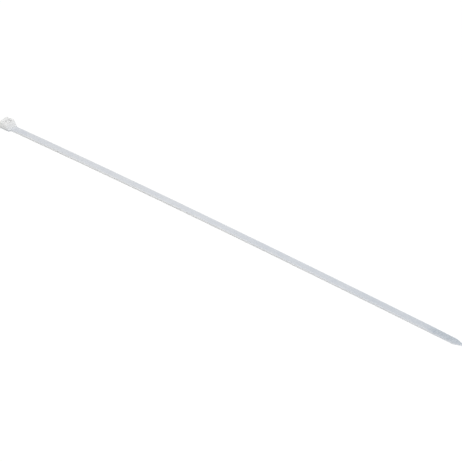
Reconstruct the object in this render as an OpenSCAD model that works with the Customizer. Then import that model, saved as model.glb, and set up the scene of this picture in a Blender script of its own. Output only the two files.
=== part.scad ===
// A moulded nylon cable tie, lying with its toothed side down.
// X runs along the strap from the head to the tip, and Z is up.
// The origin is the middle of the slot's mouth, on the underside of the head.
// The real tie is one moulding. Here the head, with its neck, and the strap meet face to face
// in one plane across the neck, so that the head is a small solid of its own around its slot.

/* [Strap] */
// Length from the back of the head to the tip of the tail
overall_length = 350; // [150:1:450]
// Width of the strap
strap_width = 4.8; // [4.2:0.1:7.6]
// Thickness of the strap over its side rails
strap_thickness = 1.3; // [1:0.05:1.8]
// Radius along the long edges of the strap
edge_radius = 0.3; // [0.1:0.05:0.4]
// How far the lying strap bows off a straight line between its ends
strap_bow = 1.7; // [0:0.1:6]

/* [Teeth] */
// Width of each plain rail beside the toothed channel
rail_width = 0.65; // [0.5:0.05:1.1]
// Distance from one tooth to the next
tooth_pitch = 1.25; // [0.9:0.05:2]
// Height of a tooth
tooth_height = 0.45; // [0.25:0.05:0.6]
// How far the tooth tips stay behind the rails
tooth_inset = 0.05; // [0.02:0.01:0.2]
// Length of the flat land on the tip of a tooth
tooth_land = 0.15; // [0.05:0.05:0.4]
// Plain length of strap between the head and the first tooth
neck_length = 12; // [4:1:40]
// Length of the tail beyond the last tooth
tail_length = 26; // [24:1:60]

/* [Tail] */
// Length of the pointed end
point_length = 6; // [4:0.5:12]
// Width across the blunt tip
tip_width = 0.8; // [0.6:0.1:2.4]
// Height of the tip's upper side above the plane that the strap lies on
tip_top = 0.95; // [0.75:0.05:1.2]
// Thickness at the tip, whose underside rises over the length of the point
tip_thickness = 0.5; // [0.3:0.05:0.7]
// Distance from one grip rib to the next
rib_pitch = 1.5; // [1:0.1:3]
// Length of a grip rib's foot along the strap
rib_foot = 0.75; // [0.4:0.05:0.9]
// Height of a grip rib
rib_height = 0.15; // [0.05:0.05:0.3]
// Number of grip ribs
rib_count = 15; // [4:1:16]

/* [Head] */
// Thickness of the head's walls at the ends of the slot
side_wall = 1.2; // [0.8:0.05:2]
// Height of the head above its underside
head_height = 4.5; // [4.2:0.1:6.5]
// Thickness of the wall in front of the pawl's pocket, level with the top of the strap
front_wall = 1.25; // [1.1:0.05:2.6]
// Radius where the flat top rolls over towards the strap
front_radius = 2; // [1:0.1:2.6]
// Steepness of the face that drops towards the strap
front_angle = 70; // [50:1:80]
// Fillet between that face and the top of the strap
foot_radius = 0.7; // [0.2:0.1:1.2]
// Radius under the back of the head
heel_radius = 1.8; // [0.6:0.1:2]
// Radius of the upright corners at the back of the head
corner_radius = 0.9; // [0.4:0.1:1.4]
// Radius along the upper edges of the head
crown_radius = 0.8; // [0.2:0.1:1]
// Radius along the lower edges of the head
sole_radius = 0.35; // [0.1:0.05:0.6]

/* [Slot] */
// Thickness of the wall behind the slot
back_wall = 2.2; // [1.2:0.1:3]
// Room for the strap's thickness in the slot
slot_clearance = 0.3; // [0.1:0.05:0.6]
// Room beside each edge of the strap in the slot
side_clearance = 0.2; // [0.1:0.05:0.4]
// Width of the bevel around the slot's mouth
mouth_bevel = 0.35; // [0.1:0.05:0.6]

/* [Pawl] */
// Length of the pocket in front of the slot
pocket_length = 2.1; // [1.9:0.1:2.3]
// Thickness of the floor that the pawl stands on
floor_thickness = 0.9; // [0.6:0.1:1.2]
// How far the pawl's free end stays below the top of the head
pawl_recess = 0.8; // [0.4:0.1:1.2]
// Thickness of the pawl's hinge at the floor
hinge_thickness = 0.7; // [0.5:0.05:0.9]
// Thickness of the pawl at its free end
pawl_thickness = 0.9; // [0.6:0.05:1]
// How far the pawl's free end reaches into the strap's path
pawl_reach = 0.4; // [0.1:0.05:0.6]
// Distance from the slot to the hinge
hinge_setback = 0.35; // [0.1:0.05:0.5]
// Height of the pawl's teeth
pawl_tooth = 0.35; // [0.2:0.05:0.4]
// Room beside the pawl in the toothed channel
pawl_clearance = 0.1; // [0.05:0.05:0.3]

/* [Hidden] */
$fn = 64;
nylon = [0.87, 0.88, 0.9];
// Overlap that lets two solids share more than a face
bite = 0.2;
// Overshoot that takes a cut clear of the surface it opens
over = 1;

slot_length = strap_thickness + slot_clearance;
slot_width = strap_width + 2 * side_clearance;
head_width = slot_width + 2 * side_wall;
back_x = -slot_length / 2 - back_wall;
pocket_end = slot_length / 2 + pocket_length;
foot_x = pocket_end + front_wall;
foot_reach = foot_radius * tan(front_angle / 2);
front_drop = front_radius * (1 - cos(front_angle));
roll_x = foot_x - (head_height - front_drop - strap_thickness) / tan(front_angle);
flat_end = roll_x - front_radius * sin(front_angle);
shoulder = (head_width - strap_width) / 2;
head_end = foot_x + shoulder;

tip_x = back_x + overall_length;
point_x = tip_x - point_length;
neck_root = (pocket_end + foot_x) / 2;
channel_width = strap_width - 2 * rail_width;
channel_depth = tooth_height + tooth_inset;
rack_start = head_end + neck_length;
rack_end = tip_x - tail_length;
tooth_count = floor((rack_end - rack_start) / tooth_pitch);
channel_end = rack_start + tooth_count * tooth_pitch;
pawl_width = channel_width - 2 * pawl_clearance;
pawl_height = head_height - pawl_recess - floor_thickness;
pawl_teeth = floor((pawl_height - hinge_setback) / tooth_pitch);

// Stations along the bowed strap, and points on each round of its section
bow_steps = 36;
point_steps = 4;
tip_steps = 4;
edge_steps = 3;
// Share of the tip's width that is still there at the very end of its round
tip_blunt = 0.35;

// Share of the lying strap's length at x, and how far its end has swung aside.
// The middle line leaves the head straight, and its bend fades evenly to nothing at the tip.
// The factor is what makes strap_bow the greatest distance from the line between the ends.
function along(x) = max(0, x - head_end) / (tip_x - head_end);
swing = 3 * sqrt(3) * strap_bow;
function mid_y(x) = -swing * pow(along(x), 2) * (3 - along(x)) / 2;

// Half of the strap's width, which narrows evenly to the tip and ends in a round
function taper_half(x) = x < point_x
    ? strap_width / 2
    : strap_width / 2 + (tip_width - strap_width) / 2 * (x - point_x) / point_length;
function tip_share(x) = max(0, 1 - 2 * (tip_x - x) / tip_width);
function half_width(x) =
    taper_half(x) * (tip_blunt + (1 - tip_blunt) * sqrt(1 - pow(min(1, tip_share(x)), 2)));

// Height of the strap's top, which falls evenly along the tail
function top_z(x) = x < rack_end
    ? strap_thickness
    : strap_thickness + (tip_top - strap_thickness) * (x - rack_end) / tail_length;

// Height of the strap's underside, flat as far as the point and then rising to the tip
function bottom_z(x) = max(0, x - point_x) / point_length * (tip_top - tip_thickness);

// One closed section of the strap at x, a rectangle with round corners
function ring(x) =
    let (hw = half_width(x),
         hz = (top_z(x) - bottom_z(x)) / 2,
         r = min(edge_radius, hw * 0.8, hz * 0.8))
    [for (c = [0:3], k = [0:edge_steps])
        let (a = 90 * (c + k / edge_steps))
        [x,
         mid_y(x) + (c == 0 || c == 3 ? hw - r : r - hw) + r * cos(a),
         bottom_z(x) + hz + (c < 2 ? hz - r : r - hz) + r * sin(a)]];

// Places along X of the sections that make the strap
stations = concat(
    [for (i = [0:bow_steps]) head_end + (point_x - head_end) * i / bow_steps],
    [for (i = [1:point_steps]) point_x + (point_length - tip_width / 2) * i / point_steps],
    [for (i = [1:tip_steps]) tip_x - tip_width / 2 * (1 - sin(90 * i / tip_steps))]
);

// Blank of the strap: its section swept along the bow to the rounded tip
module strap_blank() {
    n = 4 * (edge_steps + 1);
    last = len(stations) - 1;
    points = [for (x = stations, p = ring(x)) p];
    sides = [for (s = [0:last - 1], k = [0:n - 1], f = [0, 1])
        let (a = s * n + k, b = s * n + (k + 1) % n)
        f == 0 ? [a, b + n, b] : [a, a + n, b + n]];
    start_cap = [for (k = [0:n - 1]) k];
    end_cap = [for (k = [n - 1:-1:0]) last * n + k];
    polyhedron(points, concat([start_cap], sides, [end_cap]));
}

// Outline in plan of the channel between the rails, along the bow
module channel_plan() {
    xs = [for (i = [0:bow_steps]) rack_start + (channel_end - rack_start) * i / bow_steps];
    polygon(concat(
        [for (x = xs) [x, mid_y(x) + channel_width / 2]],
        [for (i = [bow_steps:-1:0]) [xs[i], mid_y(xs[i]) - channel_width / 2]]));
}

// Saw teeth seen from the side, steep towards the head and slanted towards the tip
module tooth_profile() {
    polygon(concat(
        [for (i = [0:tooth_count - 1], p = [
            [0, channel_depth],
            [0, tooth_inset],
            [tooth_land, tooth_inset]])
            [rack_start + i * tooth_pitch + p[0], p[1]]],
        [[channel_end, channel_depth],
         [channel_end, channel_depth + bite],
         [rack_start, channel_depth + bite]]));
}

// Extrudes a profile drawn in X and Z sideways by width, centred on Y
module across(width) {
    translate([0, width / 2, 0])
        rotate([90, 0, 0])
            linear_extrude(width)
                children();
}

// Gaps between the teeth: the channel less the teeth that fill it
module tooth_gaps() {
    difference() {
        translate([0, 0, -over])
            linear_extrude(over + channel_depth)
                channel_plan();
        translate([0, -swing / 2, 0])
            across(2 * strap_width + swing)
                tooth_profile();
    }
}

// Low ribs across the top of the tail for a grip
module grip_ribs() {
    for (i = [0:rib_count - 1]) {
        x = tip_x - point_length / 2 - i * rib_pitch;
        translate([x, mid_y(x), top_z(x)])
            across(2 * (half_width(x + rib_foot / 2) - edge_radius))
                polygon([
                    [-rib_foot / 2, -bite],
                    [rib_foot / 2, -bite],
                    [rib_foot / 2, 0],
                    [rib_foot / 6, rib_height],
                    [-rib_foot / 6, rib_height],
                    [-rib_foot / 2, 0]]);
    }
}

module strap() {
    color(nylon) {
        difference() {
            strap_blank();
            tooth_gaps();
        }
        grip_ribs();
    }
}

// What a round of radius r leaves over in the corner at the origin, with the solid at +X and +Y
module corner_waste(r) {
    difference() {
        translate([-over, -over])
            square(over + r);
        translate([r, r])
            circle(r);
    }
}

// Side view of the head: round heel, flat top, rolled front and a fillet down to the strap
module head_side() {
    union() {
        difference() {
            polygon([
                [back_x, 0],
                [head_end, 0],
                [head_end, strap_thickness],
                [foot_x, strap_thickness],
                [roll_x, head_height - front_drop],
                [flat_end, head_height - front_radius],
                [flat_end, head_height],
                [back_x, head_height]]);
            translate([back_x, 0])
                corner_waste(heel_radius);
            translate([back_x, head_height])
                rotate(-90)
                    corner_waste(crown_radius);
        }
        translate([flat_end, head_height - front_radius])
            circle(front_radius);
    }
}

// Fillet between the front face of the head and the strap, seen from the side
module foot_fillet() {
    centre = [foot_x + foot_reach, strap_thickness + foot_radius];
    on_face = centre - foot_radius * [sin(front_angle), cos(front_angle)];
    difference() {
        polygon([
            [foot_x - bite, strap_thickness - bite],
            [centre[0], strap_thickness - bite],
            centre,
            on_face]);
        translate(centre)
            circle(foot_radius);
    }
}

// Plan of the head: round back corners, and shoulders that round in to the strap
module head_plan() {
    difference() {
        translate([back_x, -head_width / 2])
            square([foot_x - back_x, head_width]);
        for (s = [0, 1])
            mirror([0, s])
                translate([back_x, -head_width / 2])
                    corner_waste(corner_radius);
    }
    translate([foot_x - over, -strap_width / 2])
        square([over + foot_reach, strap_width]);
    for (s = [-1, 1])
        translate([foot_x, s * strap_width / 2])
            circle(shoulder);
}

// End view of the head: a block with rounded upper and lower edges
module head_end_view() {
    difference() {
        translate([-head_width / 2, 0])
            square([head_width, head_height]);
        for (s = [0, 1])
            mirror([s, 0]) {
                translate([-head_width / 2, 0])
                    corner_waste(sole_radius);
                translate([-head_width / 2, head_height])
                    rotate(-90)
                        corner_waste(crown_radius);
            }
    }
}

module head_block() {
    intersection() {
        across(head_width + 2 * over)
            union() {
                head_side();
                foot_fillet();
            }
        linear_extrude(head_height)
            head_plan();
        translate([back_x - over, 0, 0])
            rotate([90, 0, 90])
                linear_extrude(head_end - back_x + 2 * over)
                    head_end_view();
    }
}

// Neck: the strap's own section, straight, from inside the front wall to where the strap begins
module neck() {
    translate([neck_root, 0, 0])
        rotate([90, 0, 90])
            linear_extrude(head_end - neck_root)
                polygon([for (p = ring(head_end)) [p[1], p[2]]]);
}

// Bevelled mouth of the slot on the underside
module slot_mouth() {
    half_l = slot_length / 2;
    half_w = slot_width / 2;
    reach = mouth_bevel + over;
    intersection() {
        across(2 * (half_w + reach))
            polygon([
                [-half_l - reach, -over],
                [half_l + reach, -over],
                [half_l, mouth_bevel],
                [-half_l, mouth_bevel]]);
        translate([-half_l - reach, 0, 0])
            rotate([90, 0, 90])
                linear_extrude(2 * (half_l + reach))
                    polygon([
                        [-half_w - reach, -over],
                        [half_w + reach, -over],
                        [half_w, mouth_bevel],
                        [-half_w, mouth_bevel]]);
    }
}

// Slot for the strap, its bevelled mouth, and the pocket in front, as wide, for the pawl
module window() {
    translate([-slot_length / 2, -slot_width / 2, -over])
        cube([slot_length, slot_width, head_height + 2 * over]);
    translate([0, -slot_width / 2, floor_thickness])
        cube([pocket_end, slot_width, head_height]);
    slot_mouth();
}

// Pawl: a leaning tongue on the pocket's floor, with teeth towards the slot
module pawl() {
    top = floor_thickness + pawl_height;
    root_x = slot_length / 2 + hinge_setback;
    free_x = slot_length / 2 - pawl_reach + pawl_tooth;
    function face_x(z) = root_x + (free_x - root_x) * (z - floor_thickness) / pawl_height;
    across(pawl_width)
        polygon(concat(
            [[root_x, floor_thickness - bite]],
            [for (i = [0:pawl_teeth - 1], k = [0, 1])
                let (z = top - (pawl_teeth - i - k) * tooth_pitch)
                [face_x(z) - k * pawl_tooth, z]],
            [[free_x + pawl_thickness, top],
             [root_x + hinge_thickness, floor_thickness],
             [root_x + hinge_thickness, floor_thickness - bite]]));
}

module head() {
    color(nylon) {
        difference() {
            union() {
                head_block();
                neck();
            }
            window();
        }
        pawl();
    }
}

head();
strap();
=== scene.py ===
"""A natural nylon cable tie, lying with its toothed side down on a white sheet.

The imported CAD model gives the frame. The tie is one moulding, so one closed skin stands for its
two nodes: the CAD head with its sharp edges eased, and the strap, which is worked out here.
Lengths in this file are in metres, in the same frame as the CAD: X runs from the head to the tip.
"""
import math

import bmesh
import bpy
import numpy as np
from mathutils import Matrix, Vector


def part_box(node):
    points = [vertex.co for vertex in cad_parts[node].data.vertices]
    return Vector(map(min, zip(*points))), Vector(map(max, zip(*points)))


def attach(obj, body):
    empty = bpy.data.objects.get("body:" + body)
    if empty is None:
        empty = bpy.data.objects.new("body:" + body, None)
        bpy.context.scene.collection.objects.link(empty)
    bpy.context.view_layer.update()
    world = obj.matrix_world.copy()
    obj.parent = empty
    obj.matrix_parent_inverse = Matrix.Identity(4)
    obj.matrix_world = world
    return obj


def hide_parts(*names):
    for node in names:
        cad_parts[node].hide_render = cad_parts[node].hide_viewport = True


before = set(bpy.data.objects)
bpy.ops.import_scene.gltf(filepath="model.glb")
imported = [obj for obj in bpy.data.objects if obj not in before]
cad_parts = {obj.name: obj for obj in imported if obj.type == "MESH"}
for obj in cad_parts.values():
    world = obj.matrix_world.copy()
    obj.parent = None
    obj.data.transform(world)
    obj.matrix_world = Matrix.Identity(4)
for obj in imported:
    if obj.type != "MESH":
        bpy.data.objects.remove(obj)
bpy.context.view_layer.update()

MM = 0.001

# Sizes that the strap repeats from the part's source
STRAP_WIDTH = 4.8 * MM
STRAP_THICKNESS = 1.3 * MM
EDGE_RADIUS = 0.3 * MM
BOW = 1.7 * MM
RAIL_WIDTH = 0.65 * MM
TOOTH_PITCH = 1.25 * MM
TOOTH_HEIGHT = 0.45 * MM
TOOTH_INSET = 0.05 * MM
TOOTH_LAND = 0.15 * MM
NECK_LENGTH = 12 * MM
TAIL_LENGTH = 26 * MM
POINT_LENGTH = 6 * MM
TIP_WIDTH = 0.8 * MM
TIP_TOP = 0.95 * MM
TIP_THICKNESS = 0.5 * MM
# Share of the tip's width that is still there at the very end of its round
TIP_BLUNT = 0.35
RIB_PITCH = 1.5 * MM
RIB_FOOT = 0.75 * MM
RIB_HEIGHT = 0.15 * MM
RIB_COUNT = 15

# Reach of the slot and its pocket in the head, from the part's source
SLOT_BACK = -0.8 * MM
POCKET_END = 2.9 * MM
SLOT_HALF_WIDTH = 2.6 * MM

# Places and sizes that follow from these and from the frame
HEAD_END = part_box("strap")[0].x
HEAD_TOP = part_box("head")[1].z
TIP_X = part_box("strap")[1].x
# Sideways place of the tip that leaves the strap BOW off the straight line between its ends
TIP_Y = -3 * math.sqrt(3) * BOW
RACK_START = HEAD_END + NECK_LENGTH
RACK_END = TIP_X - TAIL_LENGTH
POINT_X = TIP_X - POINT_LENGTH
# Whole teeth that fit. The 1e-6 only keeps rounding from losing the last one
TOOTH_COUNT = int((RACK_END - RACK_START) / TOOTH_PITCH + 1e-6)
CHANNEL_END = RACK_START + TOOTH_COUNT * TOOTH_PITCH
CHANNEL_DEPTH = TOOTH_HEIGHT + TOOTH_INSET
CHANNEL_HALF = STRAP_WIDTH / 2 - RAIL_WIDTH

# Run of a tooth's steep face, and the gap left between two stations that must not meet
STEEP_RUN = 0.02 * MM

# Shares that keep the lines of a section in order, also where the point narrows
ROUND_LIMIT = 0.8     # of the half width or half thickness, at most, for the round of an edge
RIB_MARGIN = 1.2      # radii of the round, between the end of a rib and the side of the strap
RIB_LEAST = 0.1       # of the half width, at least, for half a rib
RAIL_LIMIT = 0.9      # of the flat part, at most, for the channel and for its line on top
CHANNEL_LEAN = 0.98   # width of the channel's roof against its mouth
RIB_LEAN = 0.97       # length of a rib along its crest against its foot
RAIL_FADE = 0.8       # of the channel's half width, where the lighter look of a rail has faded out

# The join. The head's own skin takes in a stub of the strap, which ends inside the plain neck. The
# strap's skin starts inside that stub, and each is drawn in where the other one lies outside it
OVERLAP = 1 * MM
STUB_END = HEAD_END + 6 * MM
STUB_INSET = 0.08 * MM
STRAP_INSET = 0.06 * MM
STRAP_INSET_END = HEAD_END + 3 * MM
STRAP_INSET_RUN = 4 * MM

# The tone of the nylon, depth_and_painted_light_tone: its level in the strap, what the thick head,
# the rails and the teeth add to it, the painted light that lifts the shade on the sides, and over
# what length the head turns into the strap
STRAP_TONE = 0.5
HEAD_RISE, HEAD_RISE_END, HEAD_RISE_RUN = 0.5, HEAD_END + 1.5 * MM, 5 * MM
RAIL_RISE, TOOTH_RISE, SIDE_RISE = 0.09, 0.07, 0.35
DETAIL_RUN = 6 * MM
# How the tone falls along the strap: by how much, from which place, over what length
TONE_FALLS = [
    (0.22, 120 * MM, 190 * MM),        # painted shade: slowly, over the farther part of the strap, as the light falls off towards the tip
    (0.19, RACK_END, 6 * MM),          # where the rack ends and the thin tail begins
    (-0.08, TIP_X - 10 * MM, 6 * MM),  # painted light: back up a little in the point, which light enters from slanted sides
]

# Where shade is painted on the head's sides at the sole: this far from the middle line, fading out
# at this height
SOLE_FROM, SOLE_HEIGHT = 3.3 * MM, 1.3 * MM
# How near to their CAD faces the walls of the slot count as its walls, and how far inside its
# upper and lower mouth the painted light on them has come up fully
WALL_EASE, UPPER_FADE, LOWER_FADE = 0.08 * MM, 0.4 * MM, 0.5 * MM


def rising(value, start, run):
    """0 up to the start, then evenly up to 1 over the run, and 1 beyond it."""
    return np.clip((value - start) / run, 0, 1)


def falling(value, end, run):
    """0 from the end on, and evenly down to it from 1 over the run before the end."""
    return np.clip((end - value) / run, 0, 1)


# Materials

def srgb(code):
    """Linear RGBA of an sRGB hex colour."""
    channels = [int(code[i:i + 2], 16) / 255 for i in (1, 3, 5)]
    return [c / 12.92 if c <= 0.04045 else ((c + 0.055) / 1.055) ** 2.4 for c in channels] + [1]


def add_node(tree, kind, settings=None, links=None):
    """Adds a node, gives its properties and sockets their values, and links its inputs. A socket
    goes by its name, or by its number where several have the same name."""
    node = tree.nodes.new(kind)
    for name, value in (settings or {}).items():
        if isinstance(name, str) and hasattr(node, name):
            setattr(node, name, value)
        else:
            node.inputs[name].default_value = value
    for name, source in (links or {}).items():
        tree.links.new(source, node.inputs[name])
    return node


def stored(tree, name):
    """Value that the mesh keeps at its points under this name."""
    return add_node(tree, "ShaderNodeAttribute", {"attribute_name": name}).outputs["Fac"]


def spread(tree, value, low, high, to_low, to_high):
    """The value, from low to high, spread evenly from to_low to to_high and held at both ends."""
    return add_node(tree, "ShaderNodeMapRange",
                    {"From Min": low, "From Max": high, "To Min": to_low, "To Max": to_high},
                    {"Value": value}).outputs["Result"]


def tinted(tree, colour, code, share, blend="MULTIPLY"):
    """The colour with a share of an sRGB hex colour blended in. Inputs 0, 6 and 7 of a colour mix
    are the share and the two colours, and output 2 is what comes of them."""
    return add_node(tree, "ShaderNodeMix",
                    {"data_type": "RGBA", "blend_type": blend, 7: srgb(code)},
                    {0: share, 6: colour}).outputs[2]


def new_material(name):
    """Material without nodes as yet, and its node tree."""
    material = bpy.data.materials.new(name)
    material.use_nodes = True
    material.node_tree.nodes.clear()
    return material, material.node_tree


def moulded_nylon():
    """Natural nylon 66, injection moulded: milky, lets a little light into its skin, soft sheen."""
    material, tree = new_material("natural_nylon_66_moulded")
    place = add_node(tree, "ShaderNodeTexCoord").outputs["Object"]
    # Thick nylon sends back more of the light that enters it, so the head is whiter than the tail.
    # The same tone also holds painted light on the strap's sides and in the point, and painted
    # shade towards the tip
    depth_and_light = stored(tree, "depth_and_painted_light_tone")
    milk = add_node(tree, "ShaderNodeValToRGB", {}, {"Fac": depth_and_light})
    milk.color_ramp.elements[0].color = srgb("#bcc4cc")
    milk.color_ramp.elements[1].color = srgb("#f4f4f2")
    milk.color_ramp.elements.new(STRAP_TONE).color = srgb("#e0e3e8")
    # Slow clouds, about 9 mm long, where the melt cooled at different rates
    clouds = add_node(tree, "ShaderNodeTexNoise",
                      {"Scale": 1 / (9 * MM), "Detail": 2.0, "Roughness": 0.5},
                      {"Vector": place})
    # Flow lines along the strap: 6 mm long and 0.5 mm wide
    stretched = add_node(tree, "ShaderNodeMapping", {"Scale": (0.08, 1, 1)}, {"Vector": place})
    flow = add_node(tree, "ShaderNodeTexNoise",
                    {"Scale": 1 / (0.5 * MM), "Detail": 1.0},
                    {"Vector": stretched.outputs["Vector"]})
    # The lines weigh 0.4 of the clouds, and both together make the nylon clearer in places
    mixed = add_node(tree, "ShaderNodeMath", {"operation": "MULTIPLY_ADD", 1: 0.4},
                     {0: flow.outputs["Fac"], 2: clouds.outputs["Fac"]})
    clear = spread(tree, mixed.outputs["Value"], 0.45, 0.95, 0.0, 0.5)
    tone = tinted(tree, milk.outputs["Color"], "#f0f2f5", clear)
    # Painted shade along the head's sides at the sole, where it meets the sheet
    tone = tinted(tree, tone, "#d2d6db", stored(tree, "sole_painted_shade"))
    # Painted light: the walls round the slot and the pawl are tinted near white to lift the shade
    # in the slot. The walls are thin, and some real light comes through them from outside as well
    tone = tinted(tree, tone, "#fefefe", stored(tree, "slot_painted_light"), "MIX")
    # Spark-eroded mould texture, drawn at 0.12 mm because its real 0.03 mm is too fine to show
    grain = add_node(tree, "ShaderNodeTexNoise", {"Scale": 1 / (0.12 * MM), "Detail": 2.0},
                     {"Vector": place})
    bump = add_node(tree, "ShaderNodeBump", {"Strength": 0.25, "Distance": 0.01 * MM},
                    {"Height": grain.outputs["Fac"]})
    # More light enters the thick head than the strap, and it spreads further there
    entering = spread(tree, depth_and_light, 0.85, 1.0, 0.4, 1.0)
    reach = spread(tree, depth_and_light, STRAP_TONE, 1.0, 1.2 * MM, 2.5 * MM)
    shader = add_node(tree, "ShaderNodeBsdfPrincipled",
                      {"Roughness": 0.42, "IOR": 1.53, "Subsurface Radius": (1.0, 1.0, 1.0)},
                      {"Base Color": tone, "Normal": bump.outputs["Normal"],
                       "Subsurface Weight": entering, "Subsurface Scale": reach})
    add_node(tree, "ShaderNodeOutputMaterial", {}, {"Surface": shader.outputs[0]})
    return material


def matt_paper():
    """White studio paper, matt: the camera sees it as pure white, and it keeps the tie's shadow."""
    material, tree = new_material("white_studio_paper")
    path = add_node(tree, "ShaderNodeLightPath")
    seen = add_node(tree, "ShaderNodeMath", {"operation": "MAXIMUM"},
                    {0: path.outputs["Is Camera Ray"], 1: path.outputs["Is Glossy Ray"]})
    seen = add_node(tree, "ShaderNodeMath", {"operation": "MAXIMUM"},
                    {0: seen.outputs[0], 1: path.outputs["Is Transmission Ray"]})
    paper = add_node(tree, "ShaderNodeBsdfDiffuse", {"Color": srgb("#f8f8f8")})
    white = add_node(tree, "ShaderNodeEmission", {"Color": (1, 1, 1, 1), "Strength": 1.06})
    # What is seen is 0.85 plain white. The rest is the lit paper, in which the shadow shows
    share = add_node(tree, "ShaderNodeMath", {"operation": "MULTIPLY", 1: 0.85},
                     {0: seen.outputs[0]})
    surface = add_node(tree, "ShaderNodeMixShader", {},
                       {0: share.outputs[0], 1: paper.outputs[0], 2: white.outputs[0]})
    add_node(tree, "ShaderNodeOutputMaterial", {}, {"Surface": surface.outputs[0]})
    return material


# Strap

def bow_y(x):
    """Sideways place of the middle line, which bends like a thin strip that is held at the head
    and pushed aside at the tip: TIP_Y * u^2 * (3 - u) / 2, with u the share of the length."""
    u = np.clip((x - HEAD_END) / (TIP_X - HEAD_END), 0, 1)
    return TIP_Y * u * u * (3 - u) / 2


def half_width(x):
    """Half width: constant, then a straight taper over the point, and over the last half of the
    tip's width a quarter round, sqrt(1 - s^2) with s from 0 to 1, which ends blunt."""
    half = STRAP_WIDTH / 2 + (TIP_WIDTH - STRAP_WIDTH) / 2 * rising(x, POINT_X, POINT_LENGTH)
    s = np.clip(1 - 2 * (TIP_X - x) / TIP_WIDTH, 0, 1)
    return half * (TIP_BLUNT + (1 - TIP_BLUNT) * np.sqrt(1 - s * s))


def top_height(x):
    """Height of the top: constant, then a straight fall along the tail."""
    return STRAP_THICKNESS + (TIP_TOP - STRAP_THICKNESS) * rising(x, RACK_END, TAIL_LENGTH)


def bottom_height(x):
    """Height of the underside: zero, then a straight rise under the point."""
    return np.maximum(0, x - POINT_X) / POINT_LENGTH * (TIP_TOP - TIP_THICKNESS)


def strap_stations():
    """X of every section, the height of the channel's roof there, and the height of a rib.

    A tooth has three stations, at the root and the tip of its steep face and at the end of its
    flat tip, and its slanted side runs on to the root of the next tooth. A rib has four, and its
    crest is a third of its foot."""
    tooth = RACK_START + TOOTH_PITCH * np.arange(TOOTH_COUNT)
    rack_x = np.stack([tooth, tooth + STEEP_RUN, tooth + TOOTH_LAND], 1).ravel()
    rack_z = np.tile([CHANNEL_DEPTH, TOOTH_INSET, TOOTH_INSET], TOOTH_COUNT)
    # The first tooth stands against the plain neck, so it has no steep face
    rack_z[0] = TOOTH_INSET
    rib = TIP_X - POINT_LENGTH / 2 - RIB_PITCH * np.arange(RIB_COUNT)[::-1]
    rib_x = (rib[:, None] + RIB_FOOT * np.array([-1 / 2, -1 / 6, 1 / 6, 1 / 2])).ravel()
    rib_z = np.tile([0, RIB_HEIGHT, RIB_HEIGHT, 0], RIB_COUNT)
    neck = np.linspace(HEAD_END - OVERLAP, RACK_START - STEEP_RUN, num=13)
    tail = np.linspace(CHANNEL_END + STEEP_RUN, rib_x[0] - STEEP_RUN, num=6)
    ends = TIP_X - TIP_WIDTH / 2 * (1 - np.sin(np.radians(np.linspace(0, 90, num=7))))
    x = np.concatenate([neck, rack_x, [CHANNEL_END], tail, rib_x, ends])
    roof = np.concatenate([0 * neck, rack_z, [CHANNEL_DEPTH], 0 * tail, 0 * rib_x, 0 * ends])
    lift = np.concatenate([0 * neck, 0 * rack_x, [0], 0 * tail, rib_z, 0 * ends])
    order = np.argsort(x, kind="stable")
    return x[order], roof[order], lift[order]


def strap_surface(x, roof, lift, inset):
    """Points of the strap: section by section along X, and round each section from the middle
    of the underside, by the channel's wall and the rounded edges, over the top and back. At an
    angle t of an edge's round of radius r the side is at half - r + r * sin(t) and the underside
    at low + r * (1 - cos(t)). The inset draws the section in evenly."""
    half, low = half_width(x) - inset, bottom_height(x) + inset
    high = top_height(x) - inset
    radius = np.minimum(EDGE_RADIUS, ROUND_LIMIT * np.minimum(half, (high - low) / 2))
    rib_half = np.maximum(half - RIB_MARGIN * radius, RIB_LEAST * half)
    channel = np.minimum(CHANNEL_HALF, RAIL_LIMIT * (half - radius))
    rail = np.minimum(CHANNEL_HALF, RAIL_LIMIT * rib_half)
    turn = np.radians(np.linspace(0, 90, num=5))[None, :]
    rise = radius[:, None] * (1 - np.cos(turn))
    low_y = (half - radius)[:, None] + radius[:, None] * np.sin(turn)
    low_z = low[:, None] + rise
    high_y, high_z = low_y[:, ::-1], high[:, None] - rise[:, ::-1]
    under_y = np.stack([channel * CHANNEL_LEAN, channel], 1)
    under_z = np.stack([low + roof, low], 1)
    top = high + lift
    over_y = np.stack([rib_half, rib_half * RIB_LEAN, rail, RAIL_FADE * rail], 1)
    over_z = np.stack([high, top, top, top], 1)
    side_y = np.concatenate([under_y, low_y, high_y, over_y], 1)
    side_z = np.concatenate([under_z, low_z, high_z, over_z], 1)
    y = np.concatenate([side_y, -side_y[:, ::-1]], 1) + bow_y(x)[:, None]
    z = np.concatenate([side_z, side_z[:, ::-1]], 1)
    return np.stack([np.broadcast_to(x[:, None], y.shape), y, z], 2)


def grid_mesh(name, points):
    """Closed mesh from rings of points: quads between the rings, and one face over each end."""
    rings, n = points.shape[:2]
    ring, k = np.meshgrid(np.arange(rings - 1), np.arange(n), indexing="ij")
    a, b = ring * n + k, ring * n + (k + 1) % n
    quads = np.stack([a, a + n, b + n, b], 2).reshape(-1, 4)[:, ::-1]
    faces = quads.tolist() + [list(range(n))[::-1], list(range((rings - 1) * n, rings * n))]
    mesh = bpy.data.meshes.new(name)
    mesh.from_pydata(points.reshape(-1, 3).tolist(), [], faces)
    mesh.validate()
    return mesh


# Head, and one skin for both

def new_object(name, data):
    """Object at the origin for this mesh, lamp or camera."""
    piece = bpy.data.objects.new(name, data)
    bpy.context.scene.collection.objects.link(piece)
    return piece


def applied(piece):
    """Mesh of the piece with its modifiers worked in. The piece itself is put away."""
    mesh = bpy.data.meshes.new_from_object(
        piece.evaluated_get(bpy.context.evaluated_depsgraph_get()))
    bpy.data.objects.remove(piece)
    return mesh


def point_places(mesh):
    """Coordinates of a mesh's points, one row each."""
    places = np.empty(len(mesh.vertices) * 3, np.float32)
    mesh.vertices.foreach_get("co", places)
    return places.reshape(-1, 3)


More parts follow.
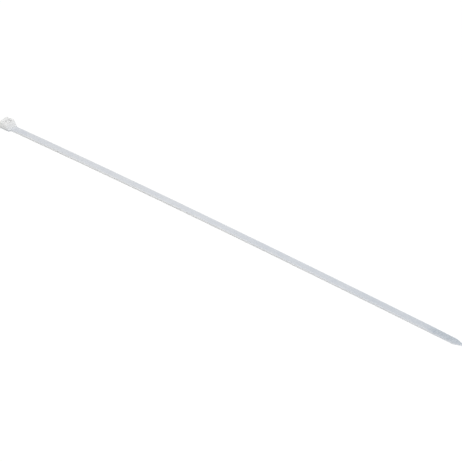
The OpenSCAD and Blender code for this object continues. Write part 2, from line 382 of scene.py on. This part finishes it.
def head_blank():
    """The CAD head, its doubles merged, and a stub of the strap that runs on from its neck."""
    x = np.linspace(HEAD_END - OVERLAP, STUB_END, num=8)
    inset = STUB_INSET * rising(x, HEAD_END, STUB_END - HEAD_END)
    work = bmesh.new()
    work.from_mesh(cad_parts["head"].data)
    work.from_mesh(grid_mesh("stub", strap_surface(x, 0 * x, 0 * x, inset)))
    bmesh.ops.remove_doubles(work, verts=work.verts, dist=0.001 * MM)
    mesh = bpy.data.meshes.new("head_blank")
    work.to_mesh(mesh)
    work.free()
    return mesh


def head_skin():
    """The head and its stub as one skin, whose edges are eased by about 0.1 mm as far as the neck,
    which is what the mould's corners and the melt's shrinkage leave. Worked in millimetres."""
    mesh = head_blank()
    mesh.transform(Matrix.Scale(1 / MM, 4))
    piece = new_object("head_remesh", mesh)
    one = piece.modifiers.new("one_skin", "REMESH")
    one.mode, one.voxel_size = "VOXEL", 0.1
    piece = new_object("head_eased", applied(piece))
    on_head = np.nonzero(point_places(piece.data)[:, 0] < HEAD_END / MM)[0]
    piece.vertex_groups.new(name="head").add(on_head.tolist(), 1.0, "REPLACE")
    ease = piece.modifiers.new("eased_edges", "SMOOTH")
    ease.factor, ease.iterations, ease.vertex_group = 0.5, 4, "head"
    mesh = applied(piece)
    mesh.transform(Matrix.Scale(MM, 4))
    return mesh


def shade(mesh):
    """Smooth shading, with sharp edges only where the strap's teeth and ribs turn sharply."""
    mesh.polygons.foreach_set("use_smooth", np.ones(len(mesh.polygons), bool))
    mesh.set_sharp_from_angle(angle=math.radians(32))
    ends = np.empty(len(mesh.edges) * 2, np.int32)
    mesh.edges.foreach_get("vertices", ends)
    on_strap = point_places(mesh)[ends.reshape(-1, 2), 0].min(1) > STUB_END
    sharp = np.empty(len(mesh.edges), bool)
    mesh.attributes["sharp_edge"].data.foreach_get("value", sharp)
    mesh.attributes["sharp_edge"].data.foreach_set("value", sharp & on_strap)


def tooth_share(x):
    """How far the tooth under x reaches down: rises at once at the steep face, then falls evenly
    to the next tooth, as the saw teeth do, and 0 outside the rack."""
    phase = np.mod(x - RACK_START, TOOTH_PITCH)
    share = np.minimum(phase / STEEP_RUN, (TOOTH_PITCH - phase) / (TOOTH_PITCH - TOOTH_LAND))
    return np.clip(share, 0, 1) * (x > RACK_START) * (x < CHANNEL_END)


def depth_and_painted_light_tone(x, y):
    """How much nylon lies behind a place, to the eye, with painted light and shade: STRAP_TONE in
    the strap over its channel and 1 in the thick head. The rails and teeth add a little. The sides
    get more, painted light that lifts their shade: SIDE_RISE * a^4, with a from 0 to 1 over an
    edge's round. It falls along the strap, slowly as painted shade towards the tip and then where
    the tail thins, and comes up in the point as painted light, for the light that enters it from
    slanted sides."""
    out = np.abs(y - bow_y(x))
    a = rising(out, half_width(x) - EDGE_RADIUS, EDGE_RADIUS)
    rails = rising(out / CHANNEL_HALF, RAIL_FADE, 1 - RAIL_FADE) * (x < POINT_X)
    teeth = tooth_share(x) * (1 - rails)
    details = RAIL_RISE * rails + TOOTH_RISE * teeth + SIDE_RISE * a ** 4
    head = HEAD_RISE * falling(x, HEAD_RISE_END, HEAD_RISE_RUN)
    falls = sum(fall * rising(x, start, run) for fall, start, run in TONE_FALLS)
    return STRAP_TONE + head + details * rising(x, HEAD_END, DETAIL_RUN) - falls


def sole_painted_shade(x, y, z):
    """Painted shade: 1 along the two sides of the head's sole, and less the higher up."""
    return falling(z, SOLE_HEIGHT, SOLE_HEIGHT) * (np.abs(y) > SOLE_FROM) * (x < HEAD_END)


def slot_painted_light(x, y, z):
    """1 on the walls of the slot and pocket and on the pawl, where light is painted, fading out at
    both mouths.
    """
    along = (x > SLOT_BACK - WALL_EASE) * (x < POCKET_END + WALL_EASE)
    across = np.abs(y) < SLOT_HALF_WIDTH + WALL_EASE
    return along * across * falling(z, HEAD_TOP, UPPER_FADE) * rising(z, 0, LOWER_FADE)


def add_tones(mesh):
    """Keeps the three tones, which carry painted light and shade, at the mesh's points, where the
    material reads them.
    """
    x, y, z = point_places(mesh).T
    tones = {"sole_painted_shade": sole_painted_shade(x, y, z), "slot_painted_light": slot_painted_light(x, y, z),
             "depth_and_painted_light_tone": depth_and_painted_light_tone(x, y)}
    for name, value in tones.items():
        layer = mesh.attributes.new(name, "FLOAT", "POINT")
        layer.data.foreach_set("value", value.astype(np.float32))


def cable_tie():
    """One closed skin. The strap starts inside the head's stub and comes out of it at a very low
    angle, while the stub draws in under it, so that their join doesn't show."""
    x, roof, lift = strap_stations()
    inset = STRAP_INSET * falling(x, STRAP_INSET_END, STRAP_INSET_RUN)
    strap = new_object("strap_skin", grid_mesh("strap_skin", strap_surface(x, roof, lift, inset)))
    tie = new_object("head_with_stub", head_skin())
    join = tie.modifiers.new("join", "BOOLEAN")
    join.operation, join.solver, join.object = "UNION", "MANIFOLD", strap
    mesh = applied(tie)
    bpy.data.objects.remove(strap)
    tie = new_object("cable_tie_moulding", mesh)
    shade(mesh)
    add_tones(mesh)
    mesh.materials.clear()
    mesh.materials.append(moulded_nylon())
    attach(tie, "root")
    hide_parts("head", "strap")


# Stage

def backdrop():
    """Flat white sheet, a hair under the tie so that their faces don't lie in one plane."""
    half_side, height = 3.0, -0.02 * MM
    turns = ((-1, -1), (1, -1), (1, 1), (-1, 1))
    mesh = bpy.data.meshes.new("paper")
    mesh.from_pydata([(sx * half_side, sy * half_side, height) for sx, sy in turns],
                     [], [(0, 1, 2, 3)])
    mesh.materials.append(matt_paper())
    new_object("floor", mesh)


def lamp(name, place, size, power, aim):
    """Square softbox of that size in metres and power in watts, turned to what it aims at."""
    light = bpy.data.lights.new(name, "AREA")
    light.shape, light.size, light.energy = "SQUARE", size, power
    holder = new_object(name, light)
    holder.location = place
    holder.rotation_euler = (Vector(aim) - Vector(place)).to_track_quat("-Z", "Y").to_euler()


def studio():
    """Even white room with one large lamp above and one beyond the tip."""
    world = bpy.data.worlds.new("white_room")
    world.use_nodes = True
    room = world.node_tree.nodes["Background"].inputs
    room["Color"].default_value = (1, 1, 1, 1)
    room["Strength"].default_value = 0.545
    bpy.context.scene.world = world
    lamp("softbox_overhead", place=(0.10, 0.06, 0.90), size=0.9, power=3.1, aim=(0.12, 0, 0))
    lamp("softbox_right", place=(1.00, -0.15, 0.60), size=0.6, power=2.1, aim=(0, 0, 0))
    # White nylon passes light from wall to wall inside the slot more often than four times
    bpy.context.scene.cycles.diffuse_bounces = 12


def photo_camera():
    """Camera at the photograph's viewing angle, fitted to the tie's outline."""
    heading, pitch, distance = math.radians(39.369), math.radians(33.83), 2074.8 * MM
    # The lens is fitted in pixels of a frame 462 wide, and a sensor is 36 millimetres wide
    lens_pixels, frame_pixels, sensor = 3606.9, 462, 36
    aim = Vector((175.88 * MM, -1.70 * MM, 0))
    right = Vector((math.cos(heading), math.sin(heading), 0))
    level = Vector((-math.sin(heading), math.cos(heading), 0))
    forward = math.cos(pitch) * level - math.sin(pitch) * Vector((0, 0, 1))
    up = right.cross(forward)
    data = bpy.data.cameras.new("camera")
    data.sensor_width, data.lens = sensor, lens_pixels / frame_pixels * sensor
    data.clip_start, data.clip_end = 0.1, 20
    camera = new_object("camera", data)
    camera.matrix_world = Matrix.Translation(aim - forward * distance) @ Matrix(
        (right, up, -forward)).transposed().to_4x4()
    bpy.context.scene.camera = camera


cable_tie()
backdrop()
studio()
photo_camera()
bpy.context.scene.view_settings.view_transform = "Standard"
